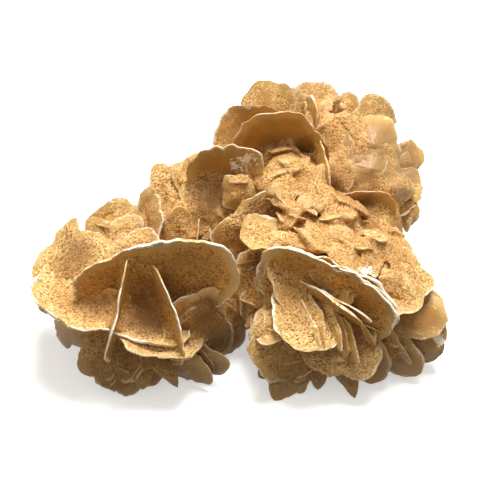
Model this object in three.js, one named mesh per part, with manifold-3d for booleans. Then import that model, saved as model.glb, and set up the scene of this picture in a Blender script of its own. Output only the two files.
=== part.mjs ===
// Gypsum sand rose: three rosettes of lens-shaped gypsum blades, grown through one another into one stone.
// Millimetres, +Z up. The stone stands on z = 0, with the middle of its footprint at the origin.
import * as THREE from "three";
import { mergeVertices } from "three/addons/utils/BufferGeometryUtils.js";
import Module from "manifold-3d";

const wasm = await Module();
wasm.setup();

// Blades are laid out in the picture plane: millimetres to the right, up the picture and towards the viewer,
// from the middle of the picture. The viewer looks down at the stone from in front of it.
const VIEW_DISTANCE = 400;
const VIEW_ELEVATION = THREE.MathUtils.degToRad(45);
const PICTURE_MIDDLE = new THREE.Vector3(0.5, -10.6, 28);

// A blade is a lens: thickest in its middle, with a thin edge and a lobed outline.
const EDGE_THICKNESS = 1.1;
const MIDDLE_THICKNESS = 2.8;
const BLUNTNESS = 2.2;
const LOBE_SHARE = 0.09;
const GOLDEN_ANGLE = THREE.MathUtils.degToRad(137.5);

// Facets: a wide blade's outline has more corners than a narrow one's.
const FEWEST_CORNERS = 7;
const MOST_CORNERS = 15;
const CORNER_SPACING = 4.6;
const WELD_DISTANCE = 1e-4;

// Blades that show, by rosette. hub and tip are the two ends of the blade, width is across them, and facing
// is the way its broad side looks. blunt squares the outline's corners, and thick is the lens's middle.
const LEFT_ROSETTE = {
  wall: { hub: [-21.4, -21, 6.7], tip: [-30, -0.4, 22], width: 49, facing: [0, -0.6, 0.8], blunt: 2.7 },
  floor: { hub: [-34, -9.6, -5], tip: [-41.5, -29.4, 21], width: 47, facing: [0.2, 0.75, 0.6], blunt: 3.2 },
  underFloor: { hub: [-21.5, -19, 1.4], tip: [-27.9, -34.2, 21.5], width: 26, facing: [0.2, 0.75, 0.63] },
  firstFin: { hub: [-33.6, -17, -4], tip: [-38, -23, 26], width: 33, facing: [0.9, -0.2, 0.05], blunt: 3.2 },
  secondFin: { hub: [-29, -22.5, -4], tip: [-20, -22.5, 24], width: 29, facing: [-1, -0.3, 0.3], blunt: 3 },
  shoulder: { hub: [-37.5, -6.6, 8], tip: [-60, -10.5, 2], width: 24, facing: [-0.5, 0.3, 0.8], thick: 5 },
  underShoulder: { hub: [-34, -10, 6], tip: [-62, -14.4, 3], width: 20, facing: [-0.5, 0.4, 0.76] },
  shoulderRidge: { hub: [-30, -8, 8], tip: [-35.4, 1.8, 7], width: 17, facing: [-0.2, 0.35, 0.9] },
  backPetalA: { hub: [-34, -3, -4], tip: [-35.4, 13.2, -6], width: 13, facing: [-0.3, 0.25, 0.92] },
  backPetalB: { hub: [-33, -3, 0], tip: [-35, 8.4, -1], width: 10, facing: [-0.1, 0.4, 0.9] },
  backPetalC: { hub: [-36, -4, -2], tip: [-44.5, 5, -4], width: 10, facing: [-0.4, 0.3, 0.87] },
  backBlade: { hub: [-26.5, -2, 2], tip: [-28, 16.5, -3], width: 11, facing: [-0.7, 0.1, 0.7] },
  roundPetal: { hub: [-19, -2, -3], tip: [-19, 9, 1], width: 8, facing: [0.15, 0.1, 0.97] },
  pinkPetal: { hub: [-21, 6, -5], tip: [-24, 21.2, -6], width: 11, facing: [0.15, 0.15, 0.97] },
  edgePetalA: { hub: [-15, 14, -8], tip: [-19.2, 24.4, -10], width: 9, facing: [-0.2, 0.4, 0.9] },
  edgePetalB: { hub: [-10, 17, -10], tip: [-14.6, 26, -11], width: 8, facing: [-0.3, 0.4, 0.87] },
  sandyPlate: { hub: [-7, 2, -4], tip: [-16.5, 17, -3], width: 19, facing: [0.35, -0.25, 0.9] },
  lowPlate: { hub: [-15, -16.5, 15], tip: [-10, -36, -3], width: 18, facing: [0.3, -0.6, 0.7], blunt: 2.8 },
  sidePetal: { hub: [-15, -20, 14], tip: [-6, -32, 1], width: 10, facing: [0.35, -0.6, 0.72] },
  sidePlate: { hub: [-15.6, -17, 13], tip: [-2, -34, -5], width: 18, facing: [0.4, -0.5, 0.77] },
  keelA: { hub: [-40, -30, 10], tip: [-57, -25, 10], width: 14, facing: [-0.2, -0.75, 0.63] },
  keelB: { hub: [-36, -28, 9], tip: [-46, -39, 11], width: 12, facing: [-0.35, -0.6, 0.72] },
  keelC: { hub: [-34, -32, 8], tip: [-41, -44, 9.5], width: 11, facing: [-0.15, -0.65, 0.75] },
  keelD: { hub: [-31, -32, 8], tip: [-33, -46.8, 6.5], width: 15, facing: [0, -0.7, 0.71], blunt: 1.4 },
  keelE: { hub: [-30, -31, 4], tip: [-29, -45, 12], width: 8, facing: [0.1, -0.4, 0.9], blunt: 1.4 },
  keelF: { hub: [-28, -29, 5], tip: [-18.6, -43.8, 12], width: 7, facing: [0.3, 0.5, 0.8], blunt: 1.4 },
  keelG: { hub: [-24, -31, 7], tip: [-9, -42, 8], width: 13, facing: [0.15, -0.75, 0.64] },
  keelH: { hub: [-18, -30, 6], tip: [-4, -38.5, 8], width: 10, facing: [0.3, -0.7, 0.65] },
};

const MIDDLE = {
  hood: { hub: [-2.5, 6, -9], tip: [-4.6, 31, 1], width: 25, facing: [-0.1, -0.45, 0.9] },
  lump: { hub: [4, 10, 0], tip: [-4, 19, 3], width: 12, facing: [-0.2, 0.1, 0.97], blunt: 1.5 },
  ridge: { hub: [5.7, -1.1, 0], tip: [-2.4, 10.2, 8], width: 26, facing: [0.3, -0.35, 0.88] },
  massA: { hub: [13, 5, 4], tip: [8, 20, -1], width: 16, facing: [-0.35, 0.4, 0.85], thick: 4 },
  massB: { hub: [20, 8, 1], tip: [16, 24, -5], width: 15, facing: [0.35, 0.55, 0.75], thick: 4 },
  massC: { hub: [14, 6, -2], tip: [12.5, 16.8, 5], width: 17, facing: [0.05, -0.5, 0.86], thick: 4 },
  massD: { hub: [20.4, 20.4, -3], tip: [15, 10.5, 9], width: 19, facing: [0.1, 0.75, 0.65], thick: 3 },
  goldenPetal: { hub: [14, -1, 8], tip: [-1.8, 4, 10], width: 13, facing: [-0.15, 0.55, 0.82] },
  lowPetalA: { hub: [9, -5, 5], tip: [0.3, -9, 6], width: 11, facing: [-0.5, -0.1, 0.86] },
  lowPetalB: { hub: [9, -12, 5], tip: [1, -14.5, 6], width: 9, facing: [-0.3, -0.3, 0.9] },
  lowPetalC: { hub: [8, -18, 5], tip: [0, -21.5, 6], width: 10, facing: [-0.4, -0.4, 0.82] },
};

const BACK_ROSETTE = {
  hood: { hub: [12, 14, -18], tip: [11.5, 39.3, -5], width: 28, facing: [0, -0.5, 0.87] },
  paleSheet: { hub: [10.5, 19.7, -16], tip: [-2.6, 38.2, -10], width: 27, facing: [0.15, -0.25, 0.95] },
  topPetalA: { hub: [10, 27, -22], tip: [8, 48, -17], width: 16, facing: [0, 0.1, 1] },
  topPetalB: { hub: [17, 32, -22], tip: [15.5, 45, -20], width: 11, facing: [0, 0.25, 0.96] },
  topPetalC: { hub: [24, 32, -22], tip: [23.2, 49.2, -20], width: 14, facing: [0, 0.35, 0.93] },
  topPetalD: { hub: [31, 30, -24], tip: [32, 44.8, -23], width: 10, facing: [0.1, 0.3, 0.95] },
  topPetalE: { hub: [37, 22, -24], tip: [43, 43.3, -24], width: 15, facing: [0.3, 0.2, 0.92] },
  topPlate: { hub: [26, 22, -14], tip: [30, 41, -18], width: 15, facing: [0.05, 0.4, 0.91], thick: 6 },
  rightPetalA: { hub: [38, 20, -22], tip: [53.5, 26, -24], width: 13, facing: [0.35, 0.2, 0.9] },
  rightPetalB: { hub: [38, 14, -18], tip: [54.8, 15.5, -20], width: 14, facing: [0.3, 0.3, 0.9] },
  rightPetalC: { hub: [40, 9, -18], tip: [54, 9, -18], width: 10, facing: [0.2, -0.1, 0.97] },
  domeA: { hub: [33, 20, -13], tip: [45, 35, -17], width: 22, facing: [0.25, 0.3, 0.92], thick: 9 },
  domeB: { hub: [30, 18, -10], tip: [48, 24, -13], width: 17, facing: [0.2, 0.25, 0.95], thick: 8 },
  domeC: { hub: [34, 15, -11], tip: [54, 17, -14], width: 12, facing: [0.2, 0.2, 0.96], thick: 6 },
  brow: { hub: [35.5, 3, -12], tip: [37.5, 16, -6], width: 20, facing: [0.1, -0.35, 0.93], blunt: 3 },
  fin: { hub: [20.4, 18.5, -19], tip: [26.4, 19.2, 0], width: 23, facing: [-0.9, -0.14, 0.3] },
  topFin: { hub: [19, 37, -24], tip: [23.1, 38.4, -11], width: 11, facing: [-0.9, -0.1, 0.3] },
};

const RIGHT_ROSETTE = {
  wall: { hub: [21, -22.6, 5.6], tip: [30, -5.7, 20], width: 43, facing: [-0.28, -0.53, 0.8], blunt: 2.6 },
  leftHood: { hub: [22.8, -12.2, 10], tip: [7.8, -6.6, 15], width: 19, facing: [0.3, 0.1, 0.95] },
  roofA: { hub: [34.4, 3, 2], tip: [28.2, -6.5, 19], width: 30, facing: [0.4, 0.72, 0.56], thick: 5 },
  roofB: { hub: [38, 8, -4], tip: [43, -11, 13], width: 19, facing: [0.35, 0.65, 0.67], thick: 5 },
  roofC: { hub: [26, 6, 2], tip: [15, -1, 14], width: 20, facing: [0.1, 0.75, 0.65], thick: 5 },
  shoulder: { hub: [38, -3, 8], tip: [56.5, -17, 10], width: 16, facing: [0.35, 0.5, 0.8], thick: 4 },
  behindShoulder: { hub: [41, -1, -1], tip: [51.6, -3, -2], width: 10, facing: [0.2, 0.2, 0.95] },
  sidePetal: { hub: [44, -10, 12], tip: [49, -23.4, 15], width: 12, facing: [0.15, -0.45, 0.88] },
  stackA: { hub: [37, -18.5, 4], tip: [60.2, -23.5, 8], width: 14, facing: [0.25, 0.15, 0.95], blunt: 3 },
  stackB: { hub: [38, -22, 3], tip: [60.8, -29.5, 6], width: 13, facing: [0.25, -0.1, 0.96], blunt: 3 },
  stackC: { hub: [42, -27, 4], tip: [59.5, -35, 3], width: 12, facing: [0.2, -0.6, 0.77] },
  stackD: { hub: [38, -28, 5], tip: [52.5, -38.2, 6], width: 11, facing: [0.3, -0.55, 0.77] },
  fanPetal: { hub: [21, -11, 10], tip: [22, -32, 20], width: 22, facing: [0.25, 0.4, 0.88] },
  lamellaA: { hub: [17.5, -16, 13.2], tip: [23, -35, 21.2], width: 7, facing: [-0.85, 0, 0.5], blunt: 1.4 },
  lamellaB: { hub: [19.5, -15, 12.2], tip: [25.2, -33, 20.2], width: 7, facing: [-0.85, 0, 0.5], blunt: 1.4 },
  lamellaC: { hub: [22, -15, 11.7], tip: [29.7, -31.5, 18.7], width: 7, facing: [-0.85, 0, 0.5], blunt: 1.4 },
  lamellaD: { hub: [24, -17, 12.2], tip: [33, -34, 18.2], width: 7, facing: [-0.85, 0, 0.5], blunt: 1.4 },
  lamellaE: { hub: [26, -19, 12.2], tip: [35.4, -36.8, 17.7], width: 7, facing: [-0.85, 0, 0.5], blunt: 1.4 },
  longBlade: { hub: [17.5, -13, 12], tip: [38.6, -26, 21], width: 11, facing: [-0.5, -0.8, 0.3], blunt: 1.5 },
  smallPetal: { hub: [26, -17, 14], tip: [34.5, -16, 17], width: 9.5, facing: [-0.4, 0.35, 0.85] },
  darkBladeA: { hub: [29, -20, 10], tip: [39.6, -31.5, 15], width: 7, facing: [-0.5, -0.6, 0.6], blunt: 1.6 },
  darkBladeB: { hub: [30, -20, 9], tip: [45.4, -38, 11], width: 8, facing: [-0.45, -0.6, 0.65], blunt: 1.6 },
  darkBladeC: { hub: [32, -20, 8], tip: [51.8, -38, 9], width: 9, facing: [-0.4, -0.6, 0.68], blunt: 1.6 },
  leftPetalA: { hub: [16, -20, 12], tip: [4, -28.5, 16], width: 11, facing: [-0.35, 0.5, 0.8] },
  leftPetalB: { hub: [19, -24, 11], tip: [5, -39.5, 14], width: 19, facing: [-0.1, -0.55, 0.83] },
  leftPetalC: { hub: [14, -20, 7], tip: [2.5, -31, 9], width: 14, facing: [-0.5, -0.2, 0.84] },
  frontPetal: { hub: [29, -25, 11], tip: [31, -41.4, 14], width: 21, facing: [0.1, -0.45, 0.9] },
  keelA: { hub: [29, -28, 4], tip: [35.4, -48.4, 8], width: 7, facing: [0.3, -0.2, 0.93], blunt: 1.35 },
  keelB: { hub: [23, -29, 5], tip: [23.7, -46, 7], width: 10, facing: [0, -0.5, 0.87], blunt: 1.35 },
  keelC: { hub: [17, -31, 8], tip: [11.5, -47.7, 7.5], width: 13, facing: [-0.1, -0.7, 0.7], blunt: 1.35 },
  keelD: { hub: [34, -29, 7], tip: [43, -41.5, 7], width: 13, facing: [0.2, -0.6, 0.77] },
  keelE: { hub: [20, -32, 9], tip: [17, -43, 9], width: 10, facing: [0.05, -0.6, 0.8], blunt: 1.35 },
  keelF: { hub: [16, -28, 9], tip: [5.6, -41.8, 10], width: 13, facing: [-0.3, -0.5, 0.8], blunt: 1.35 },
};

// Blades under the far side that the stone also stands on.
const FEET = {
  left: { hub: [-16, 4, -12], tip: [-18.9, 2, -45.4], width: 16, facing: [0.85, 0.4, 0.3] },
  middle: { hub: [6, 8, -16], tip: [5.3, 10.1, -54.6], width: 18, facing: [0.5, 0.8, 0.1] },
  right: { hub: [28, 16, -24], tip: [27.1, 11.9, -56.7], width: 18, facing: [-0.8, 0.5, 0.2] },
};

// Sandy lumps that fill the rosettes' middles, and the blades on each rosette's far side: reach is how far
// they grow straight away from the viewer, and spread is how far they grow to the sides.
const CORES = [
  { at: [-30, -24, -4], radius: 15 },
  { at: [-33, -4, -6], radius: 10.5 },
  { at: [-20, 1, -12], radius: 12.5 },
  { at: [-12, 12, -14], radius: 10.5 },
  { at: [4, 4, -14], radius: 17 },
  { at: [5, -14, -4], radius: 12.5 },
  { at: [28, -24, -3], radius: 16 },
  { at: [40, 3, -12], radius: 10.5 },
  { at: [36, -7, 0], radius: 9 },
  { at: [27, 20, -26], radius: 16 },
  { at: [13, 28, -26], radius: 10.5 },
  { at: [1, 0, -22], radius: 13 },
];
const FAR_RINGS = [
  { at: [-29, -20, 2], spread: 23, reach: 27, count: 4 },
  { at: [29, -20, 0], spread: 23, reach: 27, count: 4 },
  { at: [25, 20, -22], spread: 25, reach: 36, count: 6 },
  { at: [-6, 5, -14], spread: 22, reach: 30, count: 3 },
];
const FAR_LEAN = THREE.MathUtils.degToRad(75);
const FAR_WIDTH = { share: 0.75, change: 0.25 };

// A point of the picture plane in the stone's frame. What is nearer looks larger, so it is drawn in.
function fromPicture([right, up, near]) {
  const draw = 1 - near / VIEW_DISTANCE;
  return pictureDirection([right * draw, up * draw, near]).add(PICTURE_MIDDLE);
}

function pictureDirection([right, up, near]) {
  const sin = Math.sin(VIEW_ELEVATION);
  const cos = Math.cos(VIEW_ELEVATION);
  return new THREE.Vector3(right, up * sin - near * cos, up * cos + near * sin);
}

// Distance from the middle of a blade to its edge at an angle: a superellipse with a few low lobes.
function edgeRadius(angle, halfLength, halfWidth, blunt, phase) {
  const x = Math.abs(Math.cos(angle) / halfLength) ** blunt;
  const y = Math.abs(Math.sin(angle) / halfWidth) ** blunt;
  const lobes = 0.5 * Math.cos(3 * angle + phase) + 0.3 * Math.cos(5 * angle + 2 * phase);
  return (1 + LOBE_SHARE * lobes) / (x + y) ** (1 / blunt);
}

function solidOf(geometry) {
  geometry.deleteAttribute("normal");
  geometry.deleteAttribute("uv");
  const merged = mergeVertices(geometry, WELD_DISTANCE);
  const triangles = [];
  for (let i = 0; i < merged.index.count; i += 3) {
    const [a, b, c] = merged.index.array.slice(i, i + 3);
    if (a !== b && b !== c && c !== a) triangles.push(a, b, c);
  }
  const vertProperties = merged.attributes.position.array;
  const triVerts = new Uint32Array(triangles);
  return new wasm.Manifold(new wasm.Mesh({ numProp: 3, vertProperties, triVerts }));
}

function bladeSolid({ hub, tip, width, facing, blunt = BLUNTNESS, thick = MIDDLE_THICKNESS }, index) {
  const from = fromPicture(hub);
  const to = fromPicture(tip);
  const along = to.clone().sub(from);
  const halfLength = along.length() / 2;
  along.normalize();
  const face = pictureDirection(facing);
  face.addScaledVector(along, -face.dot(along)).normalize();
  const corners = THREE.MathUtils.clamp(4 + Math.round(width / CORNER_SPACING), FEWEST_CORNERS, MOST_CORNERS);
  const profile = [[0, -1], [1, -1], [1, 1], [0, 1]].map(([share, side]) => new THREE.Vector2(share, side));
  const lens = new THREE.LatheGeometry(profile, corners);
  const points = lens.attributes.position;
  for (let i = 0; i < points.count; i++) {
    const share = Math.hypot(points.getX(i), points.getZ(i));
    const angle = Math.atan2(points.getZ(i), points.getX(i));
    const radius = share * edgeRadius(angle, halfLength, width / 2, blunt, GOLDEN_ANGLE * index);
    const thickness = THREE.MathUtils.lerp(thick, EDGE_THICKNESS, share);
    points.setXYZ(i, radius * Math.cos(angle), points.getY(i) * thickness / 2, radius * Math.sin(angle));
  }
  const middle = from.add(to).multiplyScalar(0.5);
  const place = new THREE.Matrix4().makeBasis(along, face, along.clone().cross(face)).setPosition(middle);
  return solidOf(lens.applyMatrix4(place));
}

function coreSolid({ at, radius }) {
  const lump = new THREE.IcosahedronGeometry(radius);
  return solidOf(lump.translate(...fromPicture(at)));
}

// Blades spread evenly over the side of a rosette that looks away from the viewer.
function farBlades({ at, spread, reach, count }) {
  return Array.from({ length: count }, (_, k) => {
    const lean = FAR_LEAN * Math.sqrt((k + 0.5) / count);
    const turn = GOLDEN_ANGLE * k;
    const side = spread * Math.sin(lean);
    const way = new THREE.Vector3(side * Math.cos(turn), side * Math.sin(turn), -reach * Math.cos(lean));
    const tip = at.map((value, axis) => value + way.getComponent(axis));
    const across = new THREE.Vector3(0, 1, 0).cross(way.normalize()).normalize();
    const facing = across.applyAxisAngle(way, GOLDEN_ANGLE * (2 * k + 1)).toArray();
    return { hub: at, tip, width: spread * (FAR_WIDTH.share + FAR_WIDTH.change * Math.sin(turn)), facing };
  });
}

// The triangles of the stone's outer skin. Hollows shut in between blades are packed with sand, so their
// skins, which hold less, are left out.
function outerSkin({ vertProperties, triVerts }) {
  const leaders = Array.from({ length: vertProperties.length / 3 }, (_, vertex) => vertex);
  const leaderOf = (vertex) => {
    let leader = vertex;
    while (leaders[leader] !== leader) leader = leaders[leader];
    leaders[vertex] = leader;
    return leader;
  };
  const count = triVerts.length / 3;
  const triangles = Array.from({ length: count }, (_, k) => [...triVerts.slice(3 * k, 3 * k + 3)]);
  for (const [a, b, c] of triangles) {
    leaders[leaderOf(b)] = leaderOf(a);
    leaders[leaderOf(c)] = leaderOf(a);
  }
  const volumes = new Map();
  for (const triangle of triangles) {
    const [a, b, c] = triangle.map((vertex) => new THREE.Vector3().fromArray(vertProperties, 3 * vertex));
    const leader = leaderOf(triangle[0]);
    volumes.set(leader, (volumes.get(leader) ?? 0) + a.dot(b.cross(c)));
  }
  const [outer] = [...volumes.keys()].sort((one, other) => volumes.get(other) - volumes.get(one));
  return triangles.filter(([a]) => leaderOf(a) === outer).flat();
}

const namedBlades = [LEFT_ROSETTE, MIDDLE, BACK_ROSETTE, RIGHT_ROSETTE, FEET].flatMap(Object.values);
const blades = [...namedBlades, ...FAR_RINGS.flatMap(farBlades)];
const grown = [...CORES.map(coreSolid), ...blades.map(bladeSolid)].reduce((stone, piece) => stone.add(piece));

// The stone has settled on the blades that reach lowest: they are worn flat at the ground.
const GROUND_SIZE = 400;
const ground = new THREE.BoxGeometry(GROUND_SIZE, GROUND_SIZE, GROUND_SIZE);
ground.translate(0, 0, -GROUND_SIZE / 2);
const stone = grown.subtract(solidOf(ground)).getMesh();

const geometry = new THREE.BufferGeometry();
geometry.setAttribute("position", new THREE.BufferAttribute(stone.vertProperties, 3));
geometry.setIndex(outerSkin(stone));
geometry.computeVertexNormals();

const gypsum = new THREE.MeshStandardMaterial({ color: 0xb98a52, roughness: 0.85, metalness: 0 });
const rose = new THREE.Mesh(geometry, gypsum);
rose.name = "sand_rose";

const part = new THREE.Group();
part.add(rose);

export default part;
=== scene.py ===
"""A gypsum sand rose: three rosettes of lens-shaped blades grown through one another, crusted with dune sand.

Every blade is a closed lens with ribs, growth terraces and a chipped edge. The sand that fills the hollows
between them is worked out as a grid of distances to the blades, skinned as one mesh, and strewn with grains.
Lengths are in millimetres until the meshes are made, which are in metres.
"""

import math
from collections import namedtuple

import bmesh
import bpy
import numpy as np
import openvdb
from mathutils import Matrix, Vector


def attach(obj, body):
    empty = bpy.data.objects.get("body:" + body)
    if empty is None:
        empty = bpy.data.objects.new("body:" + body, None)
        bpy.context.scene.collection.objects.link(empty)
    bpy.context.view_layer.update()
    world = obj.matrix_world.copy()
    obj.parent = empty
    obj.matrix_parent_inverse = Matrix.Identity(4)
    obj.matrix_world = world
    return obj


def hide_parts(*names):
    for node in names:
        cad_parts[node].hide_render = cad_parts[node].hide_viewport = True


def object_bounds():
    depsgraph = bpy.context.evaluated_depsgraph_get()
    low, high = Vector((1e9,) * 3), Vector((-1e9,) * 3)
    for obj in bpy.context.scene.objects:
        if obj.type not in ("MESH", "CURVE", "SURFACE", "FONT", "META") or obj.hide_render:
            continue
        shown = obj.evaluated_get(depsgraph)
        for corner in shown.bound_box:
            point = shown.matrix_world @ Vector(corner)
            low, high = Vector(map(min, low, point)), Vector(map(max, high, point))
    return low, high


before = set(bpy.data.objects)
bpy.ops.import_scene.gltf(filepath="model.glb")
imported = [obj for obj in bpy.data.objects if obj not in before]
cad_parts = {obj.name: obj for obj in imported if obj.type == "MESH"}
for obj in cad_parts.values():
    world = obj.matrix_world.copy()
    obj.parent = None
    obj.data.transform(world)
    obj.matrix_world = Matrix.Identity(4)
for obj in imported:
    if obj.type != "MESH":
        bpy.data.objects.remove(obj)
cad_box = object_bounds()

MM = 0.001

# Blades are laid out in the picture plane: millimetres to the right, up the picture and towards the viewer.
VIEW_DISTANCE = 400
VIEW_ELEVATION = math.radians(45)
PICTURE_MIDDLE = np.array((0.5, -10.6, 28))
PICTURE_WIDTH = 144

# A blade is a lens: thickest in its middle, with a thin edge and a lobed outline.
EDGE_THICKNESS = 0.4
CHALKY_EDGE = 0.8
MIDDLE_THICKNESS = 2.8
BLUNTNESS = 2.2
LOBE_SHARE = 0.09
GOLDEN_ANGLE = math.radians(137.5)

# A blade's surface: scallops and chips in its edge and ribs on its faces, as their spacing and depth, and the
# height of its growth terraces. Then how far apart its corners and rings of corners are, and how many it has.
SCALLOPS = [(13, 1.7), (6, 1)]
CHIPS = [(2.6, 0.55), (1.2, 0.35)]
RIBS = [(1.0, 0.06), (2.6, 0.1)]
TERRACE_HEIGHT = 0.14
CORNER_SPACING = 0.7
CORNERS = (18, 220)
RING_SPACING = 0.9
RINGS = (4, 16)
SHARP_ANGLE = math.radians(50)

# Each blade's two ends, its width across them, the way its broad side faces, how blunt its outline is,
# and how thick its middle is.
Row = namedtuple("Row", "hub tip width facing blunt thick", defaults=(BLUNTNESS, MIDDLE_THICKNESS))
LEFT_ROSETTE = {
    "wall": Row((-21.4, -21, 6.7), (-30, -0.4, 22), 49, (0, -0.6, 0.8), blunt=2.7),
    "floor": Row((-34, -9.6, -5), (-41.5, -29.4, 21), 47, (0.2, 0.75, 0.6), blunt=3.2),
    "under_floor": Row((-21.5, -19, 1.4), (-27.9, -34.2, 21.5), 26, (0.2, 0.75, 0.63)),
    "first_fin": Row((-33.6, -17, -4), (-38, -23, 26), 33, (0.9, -0.2, 0.05), blunt=3.2),
    "second_fin": Row((-29, -22.5, -4), (-20, -22.5, 24), 29, (-1, -0.3, 0.3), blunt=3),
    "shoulder": Row((-37.5, -6.6, 8), (-60, -10.5, 2), 24, (-0.5, 0.3, 0.8), thick=5),
    "under_shoulder": Row((-34, -10, 6), (-62, -14.4, 3), 20, (-0.5, 0.4, 0.76)),
    "shoulder_ridge": Row((-30, -8, 8), (-35.4, 1.8, 7), 17, (-0.2, 0.35, 0.9)),
    "back_petal_a": Row((-34, -3, -4), (-35.4, 13.2, -6), 13, (-0.3, 0.25, 0.92)),
    "back_petal_b": Row((-33, -3, 0), (-35, 8.4, -1), 10, (-0.1, 0.4, 0.9)),
    "back_petal_c": Row((-36, -4, -2), (-44.5, 5, -4), 10, (-0.4, 0.3, 0.87)),
    "back_blade": Row((-26.5, -2, 2), (-28, 16.5, -3), 11, (-0.7, 0.1, 0.7)),
    "round_petal": Row((-19, -2, -3), (-19, 9, 1), 8, (0.15, 0.1, 0.97)),
    "pink_petal": Row((-21, 6, -5), (-24, 21.2, -6), 11, (0.15, 0.15, 0.97)),
    "edge_petal_a": Row((-15, 14, -8), (-19.2, 24.4, -10), 9, (-0.2, 0.4, 0.9)),
    "edge_petal_b": Row((-10, 17, -10), (-14.6, 26, -11), 8, (-0.3, 0.4, 0.87)),
    "sandy_plate": Row((-7, 2, -4), (-16.5, 17, -3), 19, (0.35, -0.25, 0.9)),
    "low_plate": Row((-15, -16.5, 15), (-10, -36, -3), 18, (0.3, -0.6, 0.7), blunt=2.8),
    "side_petal": Row((-15, -20, 14), (-6, -32, 1), 10, (0.35, -0.6, 0.72)),
    "side_plate": Row((-15.6, -17, 13), (-2, -34, -5), 18, (0.4, -0.5, 0.77)),
    "keel_a": Row((-40, -30, 10), (-57, -25, 10), 14, (-0.2, -0.75, 0.63)),
    "keel_b": Row((-36, -28, 9), (-46, -39, 11), 12, (-0.35, -0.6, 0.72)),
    "keel_c": Row((-34, -32, 8), (-41, -44, 9.5), 11, (-0.15, -0.65, 0.75)),
    "keel_d": Row((-31, -32, 8), (-33, -46.8, 6.5), 15, (0, -0.7, 0.71), blunt=1.4),
    "keel_e": Row((-30, -31, 4), (-29, -45, 12), 8, (0.1, -0.4, 0.9), blunt=1.4),
    "keel_f": Row((-28, -29, 5), (-18.6, -43.8, 12), 7, (0.3, 0.5, 0.8), blunt=1.4),
    "keel_g": Row((-24, -31, 7), (-9, -42, 8), 13, (0.15, -0.75, 0.64)),
    "keel_h": Row((-18, -30, 6), (-4, -38.5, 8), 10, (0.3, -0.7, 0.65)),
}
MIDDLE = {
    "hood": Row((-2.5, 6, -9), (-4.6, 31, 1), 25, (-0.1, -0.45, 0.9)),
    "lump": Row((4, 10, 0), (-4, 19, 3), 12, (-0.2, 0.1, 0.97), blunt=1.5),
    "ridge": Row((5.7, -1.1, 0), (-2.4, 10.2, 8), 26, (0.3, -0.35, 0.88)),
    "mass_a": Row((13, 5, 4), (8, 20, -1), 16, (-0.35, 0.4, 0.85), thick=4),
    "mass_b": Row((20, 8, 1), (16, 24, -5), 15, (0.35, 0.55, 0.75), thick=4),
    "mass_c": Row((14, 6, -2), (12.5, 16.8, 5), 17, (0.05, -0.5, 0.86), thick=4),
    "mass_d": Row((20.4, 20.4, -3), (15, 10.5, 9), 19, (0.1, 0.75, 0.65), thick=3),
    "golden_petal": Row((14, -1, 8), (-1.8, 4, 10), 13, (-0.15, 0.55, 0.82)),
    "low_petal_a": Row((9, -5, 5), (0.3, -9, 6), 11, (-0.5, -0.1, 0.86)),
    "low_petal_b": Row((9, -12, 5), (1, -14.5, 6), 9, (-0.3, -0.3, 0.9)),
    "low_petal_c": Row((8, -18, 5), (0, -21.5, 6), 10, (-0.4, -0.4, 0.82)),
}
BACK_ROSETTE = {
    "hood": Row((12, 14, -18), (11.5, 39.3, -5), 28, (0, -0.5, 0.87)),
    "pale_sheet": Row((10.5, 19.7, -16), (-2.6, 38.2, -10), 27, (0.15, -0.25, 0.95)),
    "top_petal_a": Row((10, 27, -22), (8, 48, -17), 16, (0, 0.1, 1)),
    "top_petal_b": Row((17, 32, -22), (15.5, 45, -20), 11, (0, 0.25, 0.96)),
    "top_petal_c": Row((24, 32, -22), (23.2, 49.2, -20), 14, (0, 0.35, 0.93)),
    "top_petal_d": Row((31, 30, -24), (32, 44.8, -23), 10, (0.1, 0.3, 0.95)),
    "top_petal_e": Row((37, 22, -24), (43, 43.3, -24), 15, (0.3, 0.2, 0.92)),
    "top_plate": Row((26, 22, -14), (30, 41, -18), 15, (0.05, 0.4, 0.91), thick=6),
    "right_petal_a": Row((38, 20, -22), (53.5, 26, -24), 13, (0.35, 0.2, 0.9)),
    "right_petal_b": Row((38, 14, -18), (54.8, 15.5, -20), 14, (0.3, 0.3, 0.9)),
    "right_petal_c": Row((40, 9, -18), (54, 9, -18), 10, (0.2, -0.1, 0.97)),
    "dome_a": Row((33, 20, -13), (45, 35, -17), 22, (0.25, 0.3, 0.92), thick=9),
    "dome_b": Row((30, 18, -10), (48, 24, -13), 17, (0.2, 0.25, 0.95), thick=8),
    "dome_c": Row((34, 15, -11), (54, 17, -14), 12, (0.2, 0.2, 0.96), thick=6),
    "brow": Row((35.5, 3, -12), (37.5, 16, -6), 20, (0.1, -0.35, 0.93), blunt=3),
    "fin": Row((20.4, 18.5, -19), (26.4, 19.2, 0), 23, (-0.9, -0.14, 0.3)),
    "top_fin": Row((19, 37, -24), (23.1, 38.4, -11), 11, (-0.9, -0.1, 0.3)),
}
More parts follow.
